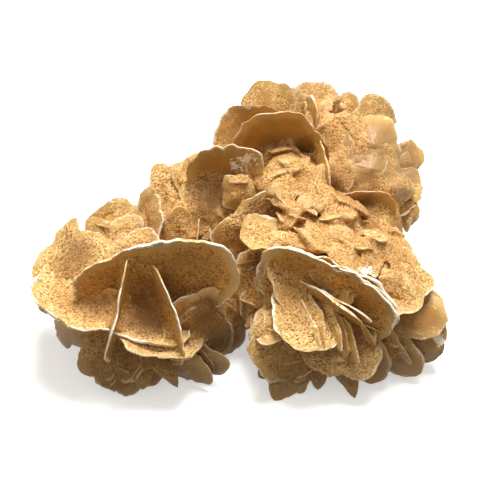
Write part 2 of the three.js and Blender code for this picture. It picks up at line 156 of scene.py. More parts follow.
RIGHT_ROSETTE = {
    "wall": Row((21, -22.6, 5.6), (30, -5.7, 20), 43, (-0.28, -0.53, 0.8), blunt=2.6),
    "left_hood": Row((22.8, -12.2, 10), (7.8, -6.6, 15), 19, (0.3, 0.1, 0.95)),
    "roof_a": Row((34.4, 3, 2), (28.2, -6.5, 19), 30, (0.4, 0.72, 0.56), thick=5),
    "roof_b": Row((38, 8, -4), (43, -11, 13), 19, (0.35, 0.65, 0.67), thick=5),
    "roof_c": Row((26, 6, 2), (15, -1, 14), 20, (0.1, 0.75, 0.65), thick=5),
    "shoulder": Row((38, -3, 8), (56.5, -17, 10), 16, (0.35, 0.5, 0.8), thick=4),
    "behind_shoulder": Row((41, -1, -1), (51.6, -3, -2), 10, (0.2, 0.2, 0.95)),
    "side_petal": Row((44, -10, 12), (49, -23.4, 15), 12, (0.15, -0.45, 0.88)),
    "stack_a": Row((37, -18.5, 4), (60.2, -23.5, 8), 14, (0.25, 0.15, 0.95), blunt=3),
    "stack_b": Row((38, -22, 3), (60.8, -29.5, 6), 13, (0.25, -0.1, 0.96), blunt=3),
    "stack_c": Row((42, -27, 4), (59.5, -35, 3), 12, (0.2, -0.6, 0.77)),
    "stack_d": Row((38, -28, 5), (52.5, -38.2, 6), 11, (0.3, -0.55, 0.77)),
    "fan_petal": Row((21, -11, 10), (22, -32, 20), 22, (0.25, 0.4, 0.88)),
    "lamella_a": Row((17.5, -16, 13.2), (23, -35, 21.2), 7, (-0.85, 0, 0.5), blunt=1.4),
    "lamella_b": Row((19.5, -15, 12.2), (25.2, -33, 20.2), 7, (-0.85, 0, 0.5), blunt=1.4),
    "lamella_c": Row((22, -15, 11.7), (29.7, -31.5, 18.7), 7, (-0.85, 0, 0.5), blunt=1.4),
    "lamella_d": Row((24, -17, 12.2), (33, -34, 18.2), 7, (-0.85, 0, 0.5), blunt=1.4),
    "lamella_e": Row((26, -19, 12.2), (35.4, -36.8, 17.7), 7, (-0.85, 0, 0.5), blunt=1.4),
    "long_blade": Row((17.5, -13, 12), (38.6, -26, 21), 11, (-0.5, -0.8, 0.3), blunt=1.5),
    "small_petal": Row((26, -17, 14), (34.5, -16, 17), 9.5, (-0.4, 0.35, 0.85)),
    "dark_blade_a": Row((29, -20, 10), (39.6, -31.5, 15), 7, (-0.5, -0.6, 0.6), blunt=1.6),
    "dark_blade_b": Row((30, -20, 9), (45.4, -38, 11), 8, (-0.45, -0.6, 0.65), blunt=1.6),
    "dark_blade_c": Row((32, -20, 8), (51.8, -38, 9), 9, (-0.4, -0.6, 0.68), blunt=1.6),
    "left_petal_a": Row((16, -20, 12), (4, -28.5, 16), 11, (-0.35, 0.5, 0.8)),
    "left_petal_b": Row((19, -24, 11), (5, -39.5, 14), 19, (-0.1, -0.55, 0.83)),
    "left_petal_c": Row((14, -20, 7), (2.5, -31, 9), 14, (-0.5, -0.2, 0.84)),
    "front_petal": Row((29, -25, 11), (31, -41.4, 14), 21, (0.1, -0.45, 0.9)),
    "keel_a": Row((29, -28, 4), (35.4, -48.4, 8), 7, (0.3, -0.2, 0.93), blunt=1.35),
    "keel_b": Row((23, -29, 5), (23.7, -46, 7), 10, (0, -0.5, 0.87), blunt=1.35),
    "keel_c": Row((17, -31, 8), (11.5, -47.7, 7.5), 13, (-0.1, -0.7, 0.7), blunt=1.35),
    "keel_d": Row((34, -29, 7), (43, -41.5, 7), 13, (0.2, -0.6, 0.77)),
    "keel_e": Row((20, -32, 9), (17, -43, 9), 10, (0.05, -0.6, 0.8), blunt=1.35),
    "keel_f": Row((16, -28, 9), (5.6, -41.8, 10), 13, (-0.3, -0.5, 0.8), blunt=1.35),
}
FEET = {
    "left": Row((-16, 4, -12), (-18.9, 2, -45.4), 16, (0.85, 0.4, 0.3)),
    "middle": Row((6, 8, -16), (5.3, 10.1, -54.6), 18, (0.5, 0.8, 0.1)),
    "right": Row((28, 16, -24), (27.1, 11.9, -56.7), 18, (-0.8, 0.5, 0.2)),
}

# Sandy lumps that fill the rosettes' middles: where, and how wide from the middle.
CORES = [
    ((-30, -24, -4), 15),
    ((-33, -4, -6), 10.5),
    ((-20, 1, -12), 12.5),
    ((-12, 12, -14), 10.5),
    ((4, 4, -14), 17),
    ((5, -14, -4), 12.5),
    ((28, -24, -3), 16),
    ((40, 3, -12), 10.5),
    ((36, -7, 0), 9),
    ((27, 20, -26), 16),
    ((13, 28, -26), 10.5),
    ((1, 0, -22), 13),
]
CORE_SHARE = 0.86

# Sand that has drifted in between the blades: where, and how wide from the middle.
DRIFTS = [
    ((17, 6, 3), 6),
    ((24, 9, -1), 7),
    ((32, 6, -3), 6),
    ((14, 20, -8), 7),
    ((18, 18, -3), 6),
    ((11, 15, 0), 5),
    ((30, 7, 3), 5),
    ((32, 8, -18), 7),
    ((25, -6, -2), 6),
]

# How much of a blade the sand bed reaches over, how far below its faces it stays, and the blades it buries.
BED_SHARE = 0.8
BED_DEPTH = 0.6
BURIED = ("middle mass", "right roof", "back top_plate")

# The blades on each rosette's far side: where they start, how far they spread and reach, and how many.
# Then how far they lean, their usual width and how much it varies, as shares of the spread.
FAR_RINGS = {
    "left": ((-29, -20, 2), 23, 27, 4),
    "right": ((29, -20, 0), 23, 27, 4),
    "back": ((25, 20, -22), 25, 36, 6),
    "middle": ((-6, 5, -14), 22, 30, 3),
}
FAR_LEAN = math.radians(75)
FAR_WIDTH = 0.75
FAR_WIDTH_CHANGE = 0.25

# How a blade is finished: the sand on it, how white its edge is, how much sand fills the corners beside it,
# how far its edge curls towards the way it faces, how ragged it is, how many scales grow on it for each
# millimetre of its size, and how many sheets its edge has split into.
USUAL_FINISH = (0.85, 0.35, 5, 0, 1, 0.25, 0)
Finish = namedtuple("Finish", "sand chalk fillet dish ragged scales sheets", defaults=USUAL_FINISH)

# The blades that are finished otherwise than most, by the first entry that a blade's name starts with.
FINISHES = {
    "left wall": Finish(sand=1, chalk=1.2, fillet=7.5, dish=3, ragged=0.4, scales=0),
    "left floor": Finish(chalk=1, fillet=7.5, dish=1.5, ragged=0.5, scales=0),
    "left first_fin": Finish(chalk=1.1, fillet=6, ragged=0.4, scales=0),
    "left second_fin": Finish(chalk=1, fillet=6, ragged=0.4, scales=0),
    "left under_floor": Finish(fillet=1.5, sheets=1),
    "left shoulder": Finish(chalk=0.7),
    "left back_blade": Finish(sand=0.1, chalk=0.8, fillet=3),
    "left back": Finish(sand=0.1, fillet=3),
    "left sandy_plate": Finish(chalk=0.4),
    "left low_plate": Finish(chalk=0.5, scales=0),
    "left side": Finish(scales=0),
    "left keel": Finish(sand=0.45, chalk=0.12, fillet=4.5),
    "left far": Finish(chalk=0.3),
    "middle hood": Finish(sand=0.15, chalk=0.8, fillet=6, dish=4.5, ragged=0.6, scales=0),
    "middle lump": Finish(sand=0.3, chalk=0.5, fillet=3, scales=0),
    "middle ridge": Finish(chalk=0.6, fillet=3, scales=0),
    "middle golden_petal": Finish(sand=0.3, chalk=0.6, fillet=3, dish=2, scales=0),
    "middle": Finish(fillet=3, scales=0),
    "back hood": Finish(sand=0.2, chalk=0.6, fillet=7, dish=5, scales=0),
    "back pale_sheet": Finish(sand=0.1, chalk=0.8, fillet=4, dish=3, scales=0),
    "back top_petal": Finish(sand=0.2, fillet=3),
    "back top_fin": Finish(chalk=0.8),
    "back right_petal": Finish(sand=0.1, fillet=3),
    "back dome": Finish(sand=0, fillet=6, dish=-2, scales=0.1),
    "back brow": Finish(chalk=0.6, dish=4, scales=0),
    "back fin": Finish(chalk=0.7, scales=0),
    "back far": Finish(chalk=0.3),
    "right wall": Finish(sand=1.1, chalk=1.2, fillet=8, dish=4, ragged=0.5, scales=0.4, sheets=3),
    "right left_hood": Finish(dish=2),
    "right roof": Finish(fillet=3),
    "right shoulder": Finish(chalk=0.9),
    "right side_petal": Finish(sand=0.3, dish=2),
    "right stack": Finish(sand=-0.4, fillet=3, sheets=3),
    "right fan_petal": Finish(chalk=1, fillet=3, scales=0),
    "right lamella": Finish(chalk=0.6, fillet=2, scales=0),
    "right long_blade": Finish(chalk=1, fillet=3, scales=0, sheets=1),
    "right small_petal": Finish(fillet=4),
    "right dark_blade": Finish(sand=0.3, chalk=0.15, fillet=3.5),
    "right left_petal": Finish(fillet=6),
    "right front_petal": Finish(fillet=6),
    "right keel": Finish(sand=0.4, chalk=0.2, fillet=4.5),
    "right far": Finish(chalk=0.3),
}
CRYSTAL_FILLET = 2.2
SHEET_SPACING = 0.75
SHEET_SIZE = (0.93, 1.0)
SCALE_LENGTH = 9
SCALE_THICKNESS = 1.3
SCALE_CHALK = 0.3

# Where the sand is broken into flat facets, and how wide the place is. Then a facet's width and its tilt, and
# how deep in the sand the facets reach.
FACETS = [
    ((14, 17, 0), 14),
    ((26, 4, 6), 14),
    ((42, -4, 6), 12),
    ((0, 10, 0), 8),
    ((-46, -8, 4), 10),
    ((26, 34, -16), 12),
    ((-24, 0, -20), 14),
    ((-8, 8, -26), 14),
    ((27, 22, -38), 16),
    ((10, 10, -34), 14),
]
FACET_SIZE = 8
FACET_TILT = 0.17
FACET_DEPTH = 3

# Clusters of small crystals: where, how far they spread, how many there are, and the ways they grow and face.
CLUSTERS = [
    ((-30, -36, 6), 14, 20, (0, -0.6, 0.8), (0, 0.8, 0.6)),
    ((3, -10, 2), 8, 10, (-0.2, 0, 1), (0.6, 0.5, 0)),
    ((22, -36, 7), 14, 20, (0, -0.6, 0.8), (0, 0.8, 0.6)),
    ((44, -28, 4), 11, 16, (0.5, -0.3, 0.8), (0.2, 0.8, 0.5)),
    ((15, 14, 4), 11, 16, (-0.3, -0.2, 1), (0.2, 1, 0.3)),
    ((30, 3, 8), 11, 14, (-0.3, -0.2, 1), (0.3, 1, 0.3)),
    ((-22, 2, -18), 18, 24, (-0.2, 0.4, -1), (0.3, 1, 0.4)),
    ((0, 8, -24), 18, 24, (0, 0.4, -1), (0.6, 0.8, 0.2)),
    ((26, 22, -34), 18, 26, (0.2, 0.4, -1), (0.2, 1, 0.6)),
]
CRYSTAL_LENGTH = (4, 8)
CRYSTAL_WIDTH = (4, 12)
CRYSTAL_BLUNTNESS = (1.2, 1.8)
CRYSTAL_THICKNESS = 1.6

# How far off the stone the search for a crystal's place starts, how long it is, and how hollow a place is.
CORE_START = 40
CLUSTER_START = 30
SEARCH_LENGTH = 90
HOLLOW_FILL = 0.45

# Chalky patches on the stone: where and how wide.
CHALK_PATCHES = [
    ((3.5, 27, 0), 4.5),
    ((-1.5, 23, -1), 2.5),
    ((38.5, -9.5, 17), 3.2),
    ((16, 0.5, 19), 2.5),
    ((60, -30, 6), 2.5),
]

# Places where dark dust has gathered and painted shade darkens the stone: where and how wide.
DUST_AND_SHADE = [
    ((-13, -25, 8), 8),
    ((-7, -33, 4), 6),
    ((-10, -19, 13), 4),
    ((-24, -13, 14), 6),
    ((-28, -25, 12), 5),
    ((4, -8, 4), 4),
    ((2, -20, 4), 4),
    ((-29, -27, 15), 6),
    ((-48, -4, 3), 7),
    ((31, -15, 10), 6),
    ((40, -27, 8), 8),
    ((38, 12, -6), 4),
    ((-9, 14, -4), 7),
    ((4, 10, 4), 4),
    ((20, 30, -8), 5),
    ((8, 30, -12), 6),
]

# Places where clear, paler crystal is bare of sand: where and how wide.
CLEAR = [
    ((40, 28, -12), 10),
    ((46, 17, -14), 7),
    ((50, 24, -20), 6),
    ((36, 20, -9), 6),
]

# Loose grains of sand: how many, and how wide from the middle.
GRAIN_COUNT = 16_000
GRAIN_RADIUS = (0.14, 0.26)

# Bends that everything follows, and folds and grit in the sand: spacing, height and seed.
BENDS = [(11, 1.0, 11), (4, 0.35, 21)]
FOLDS = [(9, 0.9, 33), (4, 0.7, 34)]
FOLD_MIDDLE = 0.55
GRIT = [(1.4, 0.16, 31), (3, 0.2, 32)]

# How far round a point the stone is felt, to tell hollows and creases from ridges.
WIDE_REACH = 4.0
NEAR_REACH = 1.0

# How the sand is finished: far from any edge, and with no chalk.
SANDY = {"rim": 8, "tone": 0.3, "sand": 1, "chalk": 0}

# Colours of the crystal, with a painted glow at its thin edge, of the sand in painted shade on steep faces
# and painted light on level ones, and of what lies on them.
GLOWING_CRYSTAL_EDGE = (0.60, 0.37, 0.11, 1)
CRYSTAL_MIDDLE = (0.46, 0.21, 0.03, 1)
PALE_CRYSTAL = (0.56, 0.36, 0.13, 1)
CLEAR_CRYSTAL = (0.38, 0.22, 0.085, 1)
AMBER_CRYSTAL = (0.38, 0.16, 0.025, 1)
BROWN_CRYSTAL = (0.36, 0.19, 0.06, 1)
STEEP_SHADED_DARK = (0.40, 0.175, 0.028, 1)
STEEP_SHADED_LIGHT = (0.82, 0.44, 0.105, 1)
LEVEL_LIT_DARK = (0.42, 0.21, 0.05, 1)
LEVEL_LIT_LIGHT = (0.94, 0.63, 0.28, 1)
ORANGE_SAND = (0.46, 0.225, 0.05, 1)
DARK_GRAIN = (0.17, 0.068, 0.014, 1)
DEEP_SAND = (0.36, 0.16, 0.03, 1)
# Painted shade for hollows and creases and, with dark dust, for a few places; worn ridges with a painted
# highlight; painted shade low down.
HOLLOW_SHADE = (0.22, 0.085, 0.016, 1)
CREASE_SHADE = (0.18, 0.07, 0.014, 1)
DARK_DUST_AND_SHADE = (0.17, 0.075, 0.018, 1)
WORN_AND_LIT_RIDGE = (0.86, 0.60, 0.30, 1)
DARK_SHADED_FOOT = (0.17, 0.10, 0.042, 1)
WHITE_CHALK = (0.90, 0.79, 0.62, 1)

# The light: a window above the stone, and a sky that is dimmer below.
WINDOW_PLACE = (0.08, 0.24, 0.78)
WINDOW_SIZE = 0.35
WINDOW_POWER = 10.2
SKY_COLOR = (1, 0.94, 0.83, 1)
SKY_STRENGTH = (0.24, 0.58)
SKY_EDGE = 0.3

# The grid that the sand is worked out on: a cell's width, the room round the stone, and how far from a
# blade's faces the sand is worked out. Then the most triangles that the sand's surface may have.
VOXEL = 0.5
MARGIN = 8.0
REACH = 7.5
low = np.array(cad_box[0]) / MM - MARGIN
high = np.array(cad_box[1]) / MM + MARGIN
SHAPE = tuple(int(n) for n in np.ceil((high - low) / VOXEL))
AXES = [low[axis] + VOXEL * np.arange(SHAPE[axis], dtype=np.float32) for axis in range(3)]
MOST_TRIANGLES = 190_000


def picture_direction(point):
    right, up, near = point
    sin, cos = math.sin(VIEW_ELEVATION), math.cos(VIEW_ELEVATION)
    return np.array((right, up * sin - near * cos, up * cos + near * sin))


def from_picture(point):
    right, up, near = point
    draw = 1 - near / VIEW_DISTANCE
    return picture_direction((right * draw, up * draw, near)) + PICTURE_MIDDLE


def unit(vector):
    return vector / np.linalg.norm(vector)


def finish_of(name):
    """The finish of the first entry that a blade's name starts with."""
    return next((finish for start, finish in FINISHES.items() if name.startswith(start)), Finish())


def lattice_noise(spacing, seed):
    """Smooth noise over the grid, about -1 to 1, from random values on a coarser lattice."""
    rng = np.random.default_rng(seed)
    counts = [int(n * VOXEL / spacing) + 5 for n in SHAPE]
    values = rng.uniform(-1.7, 1.7, counts).astype(np.float32)
    for axis, count in enumerate(SHAPE):
        place = np.arange(count) * VOXEL / spacing
        first = place.astype(int)
        t = (place - first).astype(np.float32)
        before = (3 * t**3 - 6 * t**2 + 4) / 6
        after = (-3 * t**3 + 3 * t**2 + 3 * t + 1) / 6
        weights = ((1 - t) ** 3 / 6, before, after, t**3 / 6)
        shape = [1, 1, 1]
        shape[axis] = count
        values = sum(np.take(values, first + k, axis) * w.reshape(shape) for k, w in enumerate(weights))
    return values


def sampled(grid, points):
    """A grid's values at points in millimetres, in between its cells."""
    place = (points - low) / VOXEL
    first = np.floor(place).astype(int).clip(0, np.array(SHAPE) - 2)
    t = place - first
    total = np.zeros(len(points))
    for corner in np.ndindex(2, 2, 2):
        weight = np.prod(np.where(corner, t, 1 - t), axis=1)
        x, y, z = (first + corner).T
        total += weight * grid[x, y, z]
    return total


WARP = [sum(size * lattice_noise(spacing, seed + axis) for spacing, size, seed in BENDS) for axis in range(3)]


def bent(points):
    """Flat shapes bent by the warp, so that nothing is quite flat."""
    places = points
    for step in range(2):
        places = points - np.stack([sampled(grid, places) for grid in WARP], axis=1)
    return places


def around(rng, angle, count, smooth=False):
    """Random heights, -1 to 1, at even angles round a circle, read at other angles."""
    heights = rng.uniform(-1, 1, count)
    place = angle / (2 * math.pi) * count
    first = np.floor(place).astype(int)
    t = place - first
    if smooth:
        t = t * t * (3 - 2 * t)
    return heights[first % count] * (1 - t) + heights[(first + 1) % count] * t


def far_blades(ring):
    """Blades spread evenly over the side of a rosette that looks away from the viewer."""
    at, spread, reach, count = ring
    rows = []
    for k in range(count):
        lean = FAR_LEAN * math.sqrt((k + 0.5) / count)
        turn = GOLDEN_ANGLE * k
        side = spread * math.sin(lean)
        way = np.array((side * math.cos(turn), side * math.sin(turn), -reach * math.cos(lean)))
        along = unit(way)
        across = unit(np.cross((0, 1, 0), along))
        angle = GOLDEN_ANGLE * (2 * k + 1)
        facing = across * math.cos(angle) + np.cross(along, across) * math.sin(angle)
        width = spread * (FAR_WIDTH + FAR_WIDTH_CHANGE * math.sin(turn))
        rows.append(Row(at, np.array(at) + way, width, facing))
    return rows


class Blade:
    """A lens-shaped blade: its middle, its three directions, its outline and its finish."""

    def __init__(self, start, end, width, facing, blunt=BLUNTNESS, thick=MIDDLE_THICKNESS, phase=0.0):
        self.middle = (start + end) / 2
        self.along = unit(end - start)
        self.face = unit(facing - self.along * np.dot(facing, self.along))
        self.side = np.cross(self.along, self.face)
        self.half_length = np.linalg.norm(end - start) / 2
        self.half_width = width / 2
        self.size = math.sqrt(self.half_length * self.half_width)
        self.blunt = blunt
        self.phase = phase
        self.thick = thick
        self.buried = False
        self.finish = Finish()

    def sheet(self, offset, size):
        """A thinner sheet beside the blade, in its plane."""
        start = self.middle - self.along * self.half_length * size
        end = self.middle + self.along * self.half_length * size
        shift = self.face * offset
        width = 2 * self.half_width * size
        copy = Blade(start + shift, end + shift, width, self.face, self.blunt, 0.5 * self.thick, self.phase)
        copy.finish = Finish(self.finish.sand, self.finish.chalk, dish=self.finish.dish)
        return copy

    def outline(self, angle):
        """The outline's distance from the middle: a superellipse with a few low lobes."""
        x = np.abs(np.cos(angle) / self.half_length) ** self.blunt
        y = np.abs(np.sin(angle) / self.half_width) ** self.blunt
        lobes = 0.5 * np.cos(3 * angle + self.phase) + 0.3 * np.cos(5 * angle + 2 * self.phase)
        return (1 + LOBE_SHARE * lobes) / (x + y) ** (1 / self.blunt)

    def chips(self, angle, rng):
        """What the edge has lost or gained: scallops, chips and splinters."""
        total = 0
        scallops = [(spacing, depth * self.finish.ragged) for spacing, depth in SCALLOPS]
        for spacing, depth in scallops + CHIPS:
            count = max(5, round(2 * math.pi * self.size / spacing))
            total = total + depth * min(1, self.size / 8) * around(rng, angle, count)
        return total

    def scale(self, rng):
        """A smaller lens that grows out of one of the blade's broad sides and leans off it."""
        way = rng.choice((-1, 1))
        angle = rng.uniform(0, 2 * math.pi)
        share = math.sqrt(rng.uniform(0.02, 0.8))
        flat = self.along * math.cos(angle) + self.side * math.sin(angle)
        height = way * self.thick / 2 * (1 - share) + self.finish.dish * share**2
        place = self.middle + flat * share * self.outline(angle) + self.face * height
        outward = unit(flat + 0.7 * self.along + 0.5 * rng.normal(size=3))
        outward = unit(outward - self.face * np.dot(outward, self.face))
        along = outward + way * rng.uniform(0.05, 0.35) * self.face
        length = min(SCALE_LENGTH, self.size * rng.uniform(0.35, 0.8))
        width = length * rng.uniform(1.0, 2.8)
        start = place - along * length * 0.6
        end = place + along * length * 0.4
        blunt = rng.uniform(*CRYSTAL_BLUNTNESS)
        copy = Blade(start, end, width, way * self.face, blunt, SCALE_THICKNESS, rng.uniform(0, 6))
        copy.finish = Finish(self.finish.sand, min(SCALE_CHALK, self.finish.chalk))
        return copy

    def lens(self, rng):
        """The blade's corners, triangles and how far each corner is from the edge."""
        count = int(np.clip(2 * math.pi * self.size / CORNER_SPACING, *CORNERS))
        rings = int(np.clip(self.size / RING_SPACING, *RINGS))
        angle = np.arange(count) * 2 * math.pi / count
        edge = self.outline(angle) + self.chips(angle, rng)
        share = 1 - (1 - np.arange(1, rings + 1) / rings)[:, None] ** 1.4
        inward = edge * (1 - share)
        x = share * edge * np.cos(angle)
        y = share * edge * np.sin(angle)
        rim_half = (EDGE_THICKNESS + (CHALKY_EDGE - EDGE_THICKNESS) * self.finish.chalk**2) / 2
        rim_half = rim_half * (0.75 + 0.45 * around(rng, angle, max(6, round(self.size))))
        half = rim_half + (self.thick / 2 - rim_half) * (1 - share)
        bends = around(rng, angle, max(5, round(self.size * 0.6)), smooth=True)
        wave = self.finish.ragged * min(1.6, self.size / 9) * share**2 * bends
        wave = wave + self.finish.dish * share**2
        spread = np.arctan2(y, x + 1.4 * self.half_length) * 2.4 * self.half_length

        corners = [self.middle + self.face * self.thick / 2, self.middle - self.face * self.thick / 2]
        for way in (1, -1):
            ribs = 0.0
            for spacing, depth in RIBS:
                knots = np.arange(spread.min(), spread.max() + 2 * spacing, spacing)
                ribs = ribs + depth * np.interp(spread, knots, rng.uniform(-1, 1, len(knots)))
            turns = inward / rng.uniform(1.8, 3.2) + 0.5 * around(rng, angle, 9) + 2 * ribs
            relief = (ribs + TERRACE_HEIGHT * (0.5 - turns % 1)) * np.clip(inward / 2, 0.1, 1)
            height = wave + way * (half + relief)
            directions = np.stack((self.along, self.side, self.face))
            ring_corners = self.middle + np.stack((x, y, height), axis=2) @ directions
            corners.extend(ring_corners.reshape(-1, 3))
        corners = np.array(corners)

        here = np.arange(count)
        after = (here + 1) % count
        triangles = []
        for side, first in enumerate((2, 2 + rings * count)):
            faces = [np.stack((np.full(count, side), first + after, first + here), axis=1)]
            for ring in range(rings - 1):
                inner = first + ring * count
                outer = inner + count
                faces.append(np.stack((inner + here, inner + after, outer + after), axis=1))
                faces.append(np.stack((inner + here, outer + after, outer + here), axis=1))
            faces = np.concatenate(faces)
            triangles.append(faces[:, ::-1] if side else faces)
        top = 2 + (rings - 1) * count
        bottom = top + rings * count
        triangles.append(np.stack((top + here, top + after, bottom + after), axis=1))
        triangles.append(np.stack((top + here, bottom + after, bottom + here), axis=1))
        rim = np.concatenate(((self.size, self.size), inward.ravel(), inward.ravel()))
        return bent(corners), np.concatenate(triangles), rim


class SandBed:
    """A grid of distances to the sand that fills the hollows between the blades."""

    def __init__(self):
        self.field = np.full(SHAPE, MARGIN, np.float32)

    def offsets(self, middle, reach):
        """The cells within reach of a point and their places from it, bent as the blades are."""
        first = np.floor((middle - reach - low) / VOXEL).astype(int).clip(0)
        last = np.ceil((middle + reach - low) / VOXEL).astype(int) + 1
        cells = tuple(slice(a, b) for a, b in zip(first, np.minimum(last, SHAPE)))
        places = []
        for axis in range(3):
            shape = [1, 1, 1]
            shape[axis] = -1
            line = AXES[axis][cells[axis]].reshape(shape) - np.float32(middle[axis])
            places.append(line + WARP[axis][cells])
        return cells, places

    def join(self, cells, near, distance, fillet):
        """Joins a shape to the stone, with sand filling the corner between them."""
        field = self.field[cells]
        old = field[near]
        share = np.clip(0.5 + 0.5 * (old - distance) / fillet, 0, 1)
        field[near] = old + (distance - old) * share - fillet * share * (1 - share)

    def lump(self, middle, radius):
        cells, (dx, dy, dz) = self.offsets(middle, radius + MARGIN)
        distance = np.sqrt(dx**2 + dy**2 + dz**2) - radius
        near = distance < MARGIN
        self.join(cells, near, distance[near], Finish().fillet)

    def blade(self, blade):
        reach = np.abs(blade.along) * blade.half_length + np.abs(blade.side) * blade.half_width
        cells, places = self.offsets(blade.middle, reach * 1.1 + MARGIN)
        c = sum(place * np.float32(part) for place, part in zip(places, blade.face))
        near = np.abs(c) < blade.thick / 2 + abs(blade.finish.dish) + REACH
        c = c[near]
        places = [place[near] for place in places]
        a = sum(place * np.float32(part) for place, part in zip(places, blade.along))
        b = sum(place * np.float32(part) for place, part in zip(places, blade.side))
        outline = blade.outline(np.arctan2(b, a))
        radius = np.hypot(a, b)
        edge = outline if blade.buried else BED_SHARE * outline
        c = c - blade.finish.dish * np.minimum(radius / outline, 1) ** 2
        half = blade.thick / 2 * np.clip(1 - radius / edge, 0, 1) - (0 if blade.buried else BED_DEPTH)
        self.join(cells, near, np.maximum(np.abs(c) - half, radius - edge), blade.finish.fillet)

    def fill(self, reach):
        """How much of the space within reach of each cell is stone."""
        return blurred(np.clip(0.5 - self.field / VOXEL, 0, 1), reach)


def blurred(values, reach):
    """A box blur of a grid, twice along each axis."""
    steps = max(1, round(reach / VOXEL))
    for axis in (0, 1, 2, 0, 1, 2):
        padding = [(0, 0)] * 3
        padding[axis] = (steps + 1, steps)
        total = np.cumsum(np.pad(values, padding, mode="edge"), axis=axis, dtype=np.float32)
        count = values.shape[axis]
        ahead = np.take(total, np.arange(count) + 2 * steps + 1, axis)
        values = (ahead - np.take(total, np.arange(count), axis)) / (2 * steps + 1)
    return values


def new_object(name, points, triangles):
    mesh = bpy.data.meshes.new(name)
    mesh.vertices.add(len(points))
    mesh.vertices.foreach_set("co", np.asarray(points * MM, np.float32).ravel())
    mesh.loops.add(3 * len(triangles))
    mesh.loops.foreach_set("vertex_index", np.asarray(triangles, np.int32).ravel())
    mesh.polygons.add(len(triangles))
    mesh.polygons.foreach_set("loop_start", np.arange(0, 3 * len(triangles), 3, dtype=np.int32))
    mesh.update(calc_edges=True)
    mesh.shade_smooth()
    piece = bpy.data.objects.new(name, mesh)
    bpy.context.scene.collection.objects.link(piece)
    return piece


def corners_of(piece):
    points = np.empty(3 * len(piece.data.vertices))
    piece.data.vertices.foreach_get("co", points)
    return points.reshape(-1, 3) / MM


def give(piece, name, values):
    attribute = piece.data.attributes.new(name, "FLOAT", "POINT")
    attribute.data.foreach_set("value", np.asarray(values, np.float32))


def finish_as_sand(piece):
    for key, value in SANDY.items():
        give(piece, key, np.full(len(piece.data.vertices), value))


def worn_at_ground(piece):
    """Cuts a piece off flat at the ground."""
    shape = bmesh.new()
    shape.from_mesh(piece.data)
    parts = shape.verts[:] + shape.edges[:] + shape.faces[:]
    bmesh.ops.bisect_plane(shape, geom=parts, plane_co=(0, 0, 0), plane_no=(0, 0, -1), clear_outer=True)
    bmesh.ops.holes_fill(shape, edges=[edge for edge in shape.edges if edge.is_boundary])
    bmesh.ops.triangulate(shape, faces=shape.faces[:])
    shape.to_mesh(piece.data)
    shape.free()


def joined_lenses(name, blades, seed):
    """Blades as one mesh, worn flat at the ground."""
    points, triangles, finish = [], [], []
    count = 0
    for index, blade in enumerate(blades):
        rng = np.random.default_rng((seed, index))
        corners, faces, rim = blade.lens(rng)
        points.append(corners)
        triangles.append(faces + count)
        same = np.ones(len(rim))
        tone = rng.uniform(0, 1)
        finish.append(np.stack((rim, same * tone, same * blade.finish.sand, same * blade.finish.chalk)))
        count += len(corners)
    piece = new_object(name, np.concatenate(points), np.concatenate(triangles))
    for key, values in zip(("rim", "tone", "sand", "chalk"), np.concatenate(finish, axis=1)):
        give(piece, key, values)
    worn_at_ground(piece)
    piece.data.set_sharp_from_angle(angle=SHARP_ANGLE)
    return piece


def largest_piece(count, triangles):
    """Which vertices belong to the largest connected piece of a mesh."""
    label = np.arange(count)
    while True:
        least = label[triangles].min(axis=1)
        new = label.copy()
        for corner in range(3):
            np.minimum.at(new, triangles[:, corner], least)
        new = new[new]
        if (new == label).all():
            break
        label = new
    names, sizes = np.unique(label, return_counts=True)
    return label == names[sizes.argmax()]


def facets(bed, rng):
    """Heights of flat facets over the sand: each cell of an uneven grid has a tilt of its own."""
    cells = np.nonzero(np.abs(bed.field) < FACET_DEPTH)
    points = np.stack(cells, axis=1) * VOXEL + low
    away = [np.linalg.norm(points - from_picture(at), axis=1) / width for at, width in FACETS]
    weight = sum(np.exp(-distance**2) for distance in away).clip(0, 1)
    faceted = weight > 0.05
    points = points[faceted]
    counts = tuple(int(n * VOXEL / FACET_SIZE) + 3 for n in SHAPE)
    shift = rng.uniform(0, 1, (*counts, 3))
    tilt = FACET_TILT * rng.normal(size=(*counts, 3))
    first = ((points - low) / FACET_SIZE).astype(int)
    nearest = np.full(len(points), np.inf)
    height = np.zeros(len(points))
    for step in np.ndindex(3, 3, 3):
        x, y, z = (first + step).T
        place = points - low - (np.stack((x, y, z), axis=1) - 1 + shift[x, y, z]) * FACET_SIZE
        distance = (place**2).sum(axis=1)
        closer = distance < nearest
        nearest[closer] = distance[closer]
        height[closer] = (place * tilt[x, y, z]).sum(axis=1)[closer]
    heights = np.zeros(SHAPE, np.float32)
    heights[tuple(axis[faceted] for axis in cells)] = weight[faceted] * height
    return heights


def sand_skin(bed):
    """The sand's surface as one mesh, rough with grit."""
    folds = sum(height * np.abs(lattice_noise(spacing, seed)) for spacing, height, seed in FOLDS)
    field = bed.field + (folds - FOLD_MIDDLE)
    for spacing, height, seed in GRIT:
        field = field + height * lattice_noise(spacing, seed)
    field = np.maximum(field, 0.05 - AXES[2].reshape(1, 1, -1))
    volume = openvdb.FloatGrid(MARGIN)
    volume.copyFromArray(field)
    points, triangles, quads = volume.convertToPolygons(isovalue=0, adaptivity=0.0)
    triangles = np.concatenate((triangles, quads[:, (0, 1, 2)], quads[:, (0, 2, 3)]))
    triangles = triangles[:, ::-1].astype(np.int64)
    kept = largest_piece(len(points), triangles)
    renumber = np.cumsum(kept) - 1
    piece = new_object("sand_bed", points[kept] * VOXEL + low, renumber[triangles[kept[triangles[:, 0]]]])
    if len(piece.data.polygons) > MOST_TRIANGLES:
        thin = piece.modifiers.new("thin", "DECIMATE")
        thin.ratio = MOST_TRIANGLES / len(piece.data.polygons)
        bpy.context.view_layer.objects.active = piece
        bpy.ops.object.modifier_apply(modifier="thin")
    finish_as_sand(piece)
    return piece


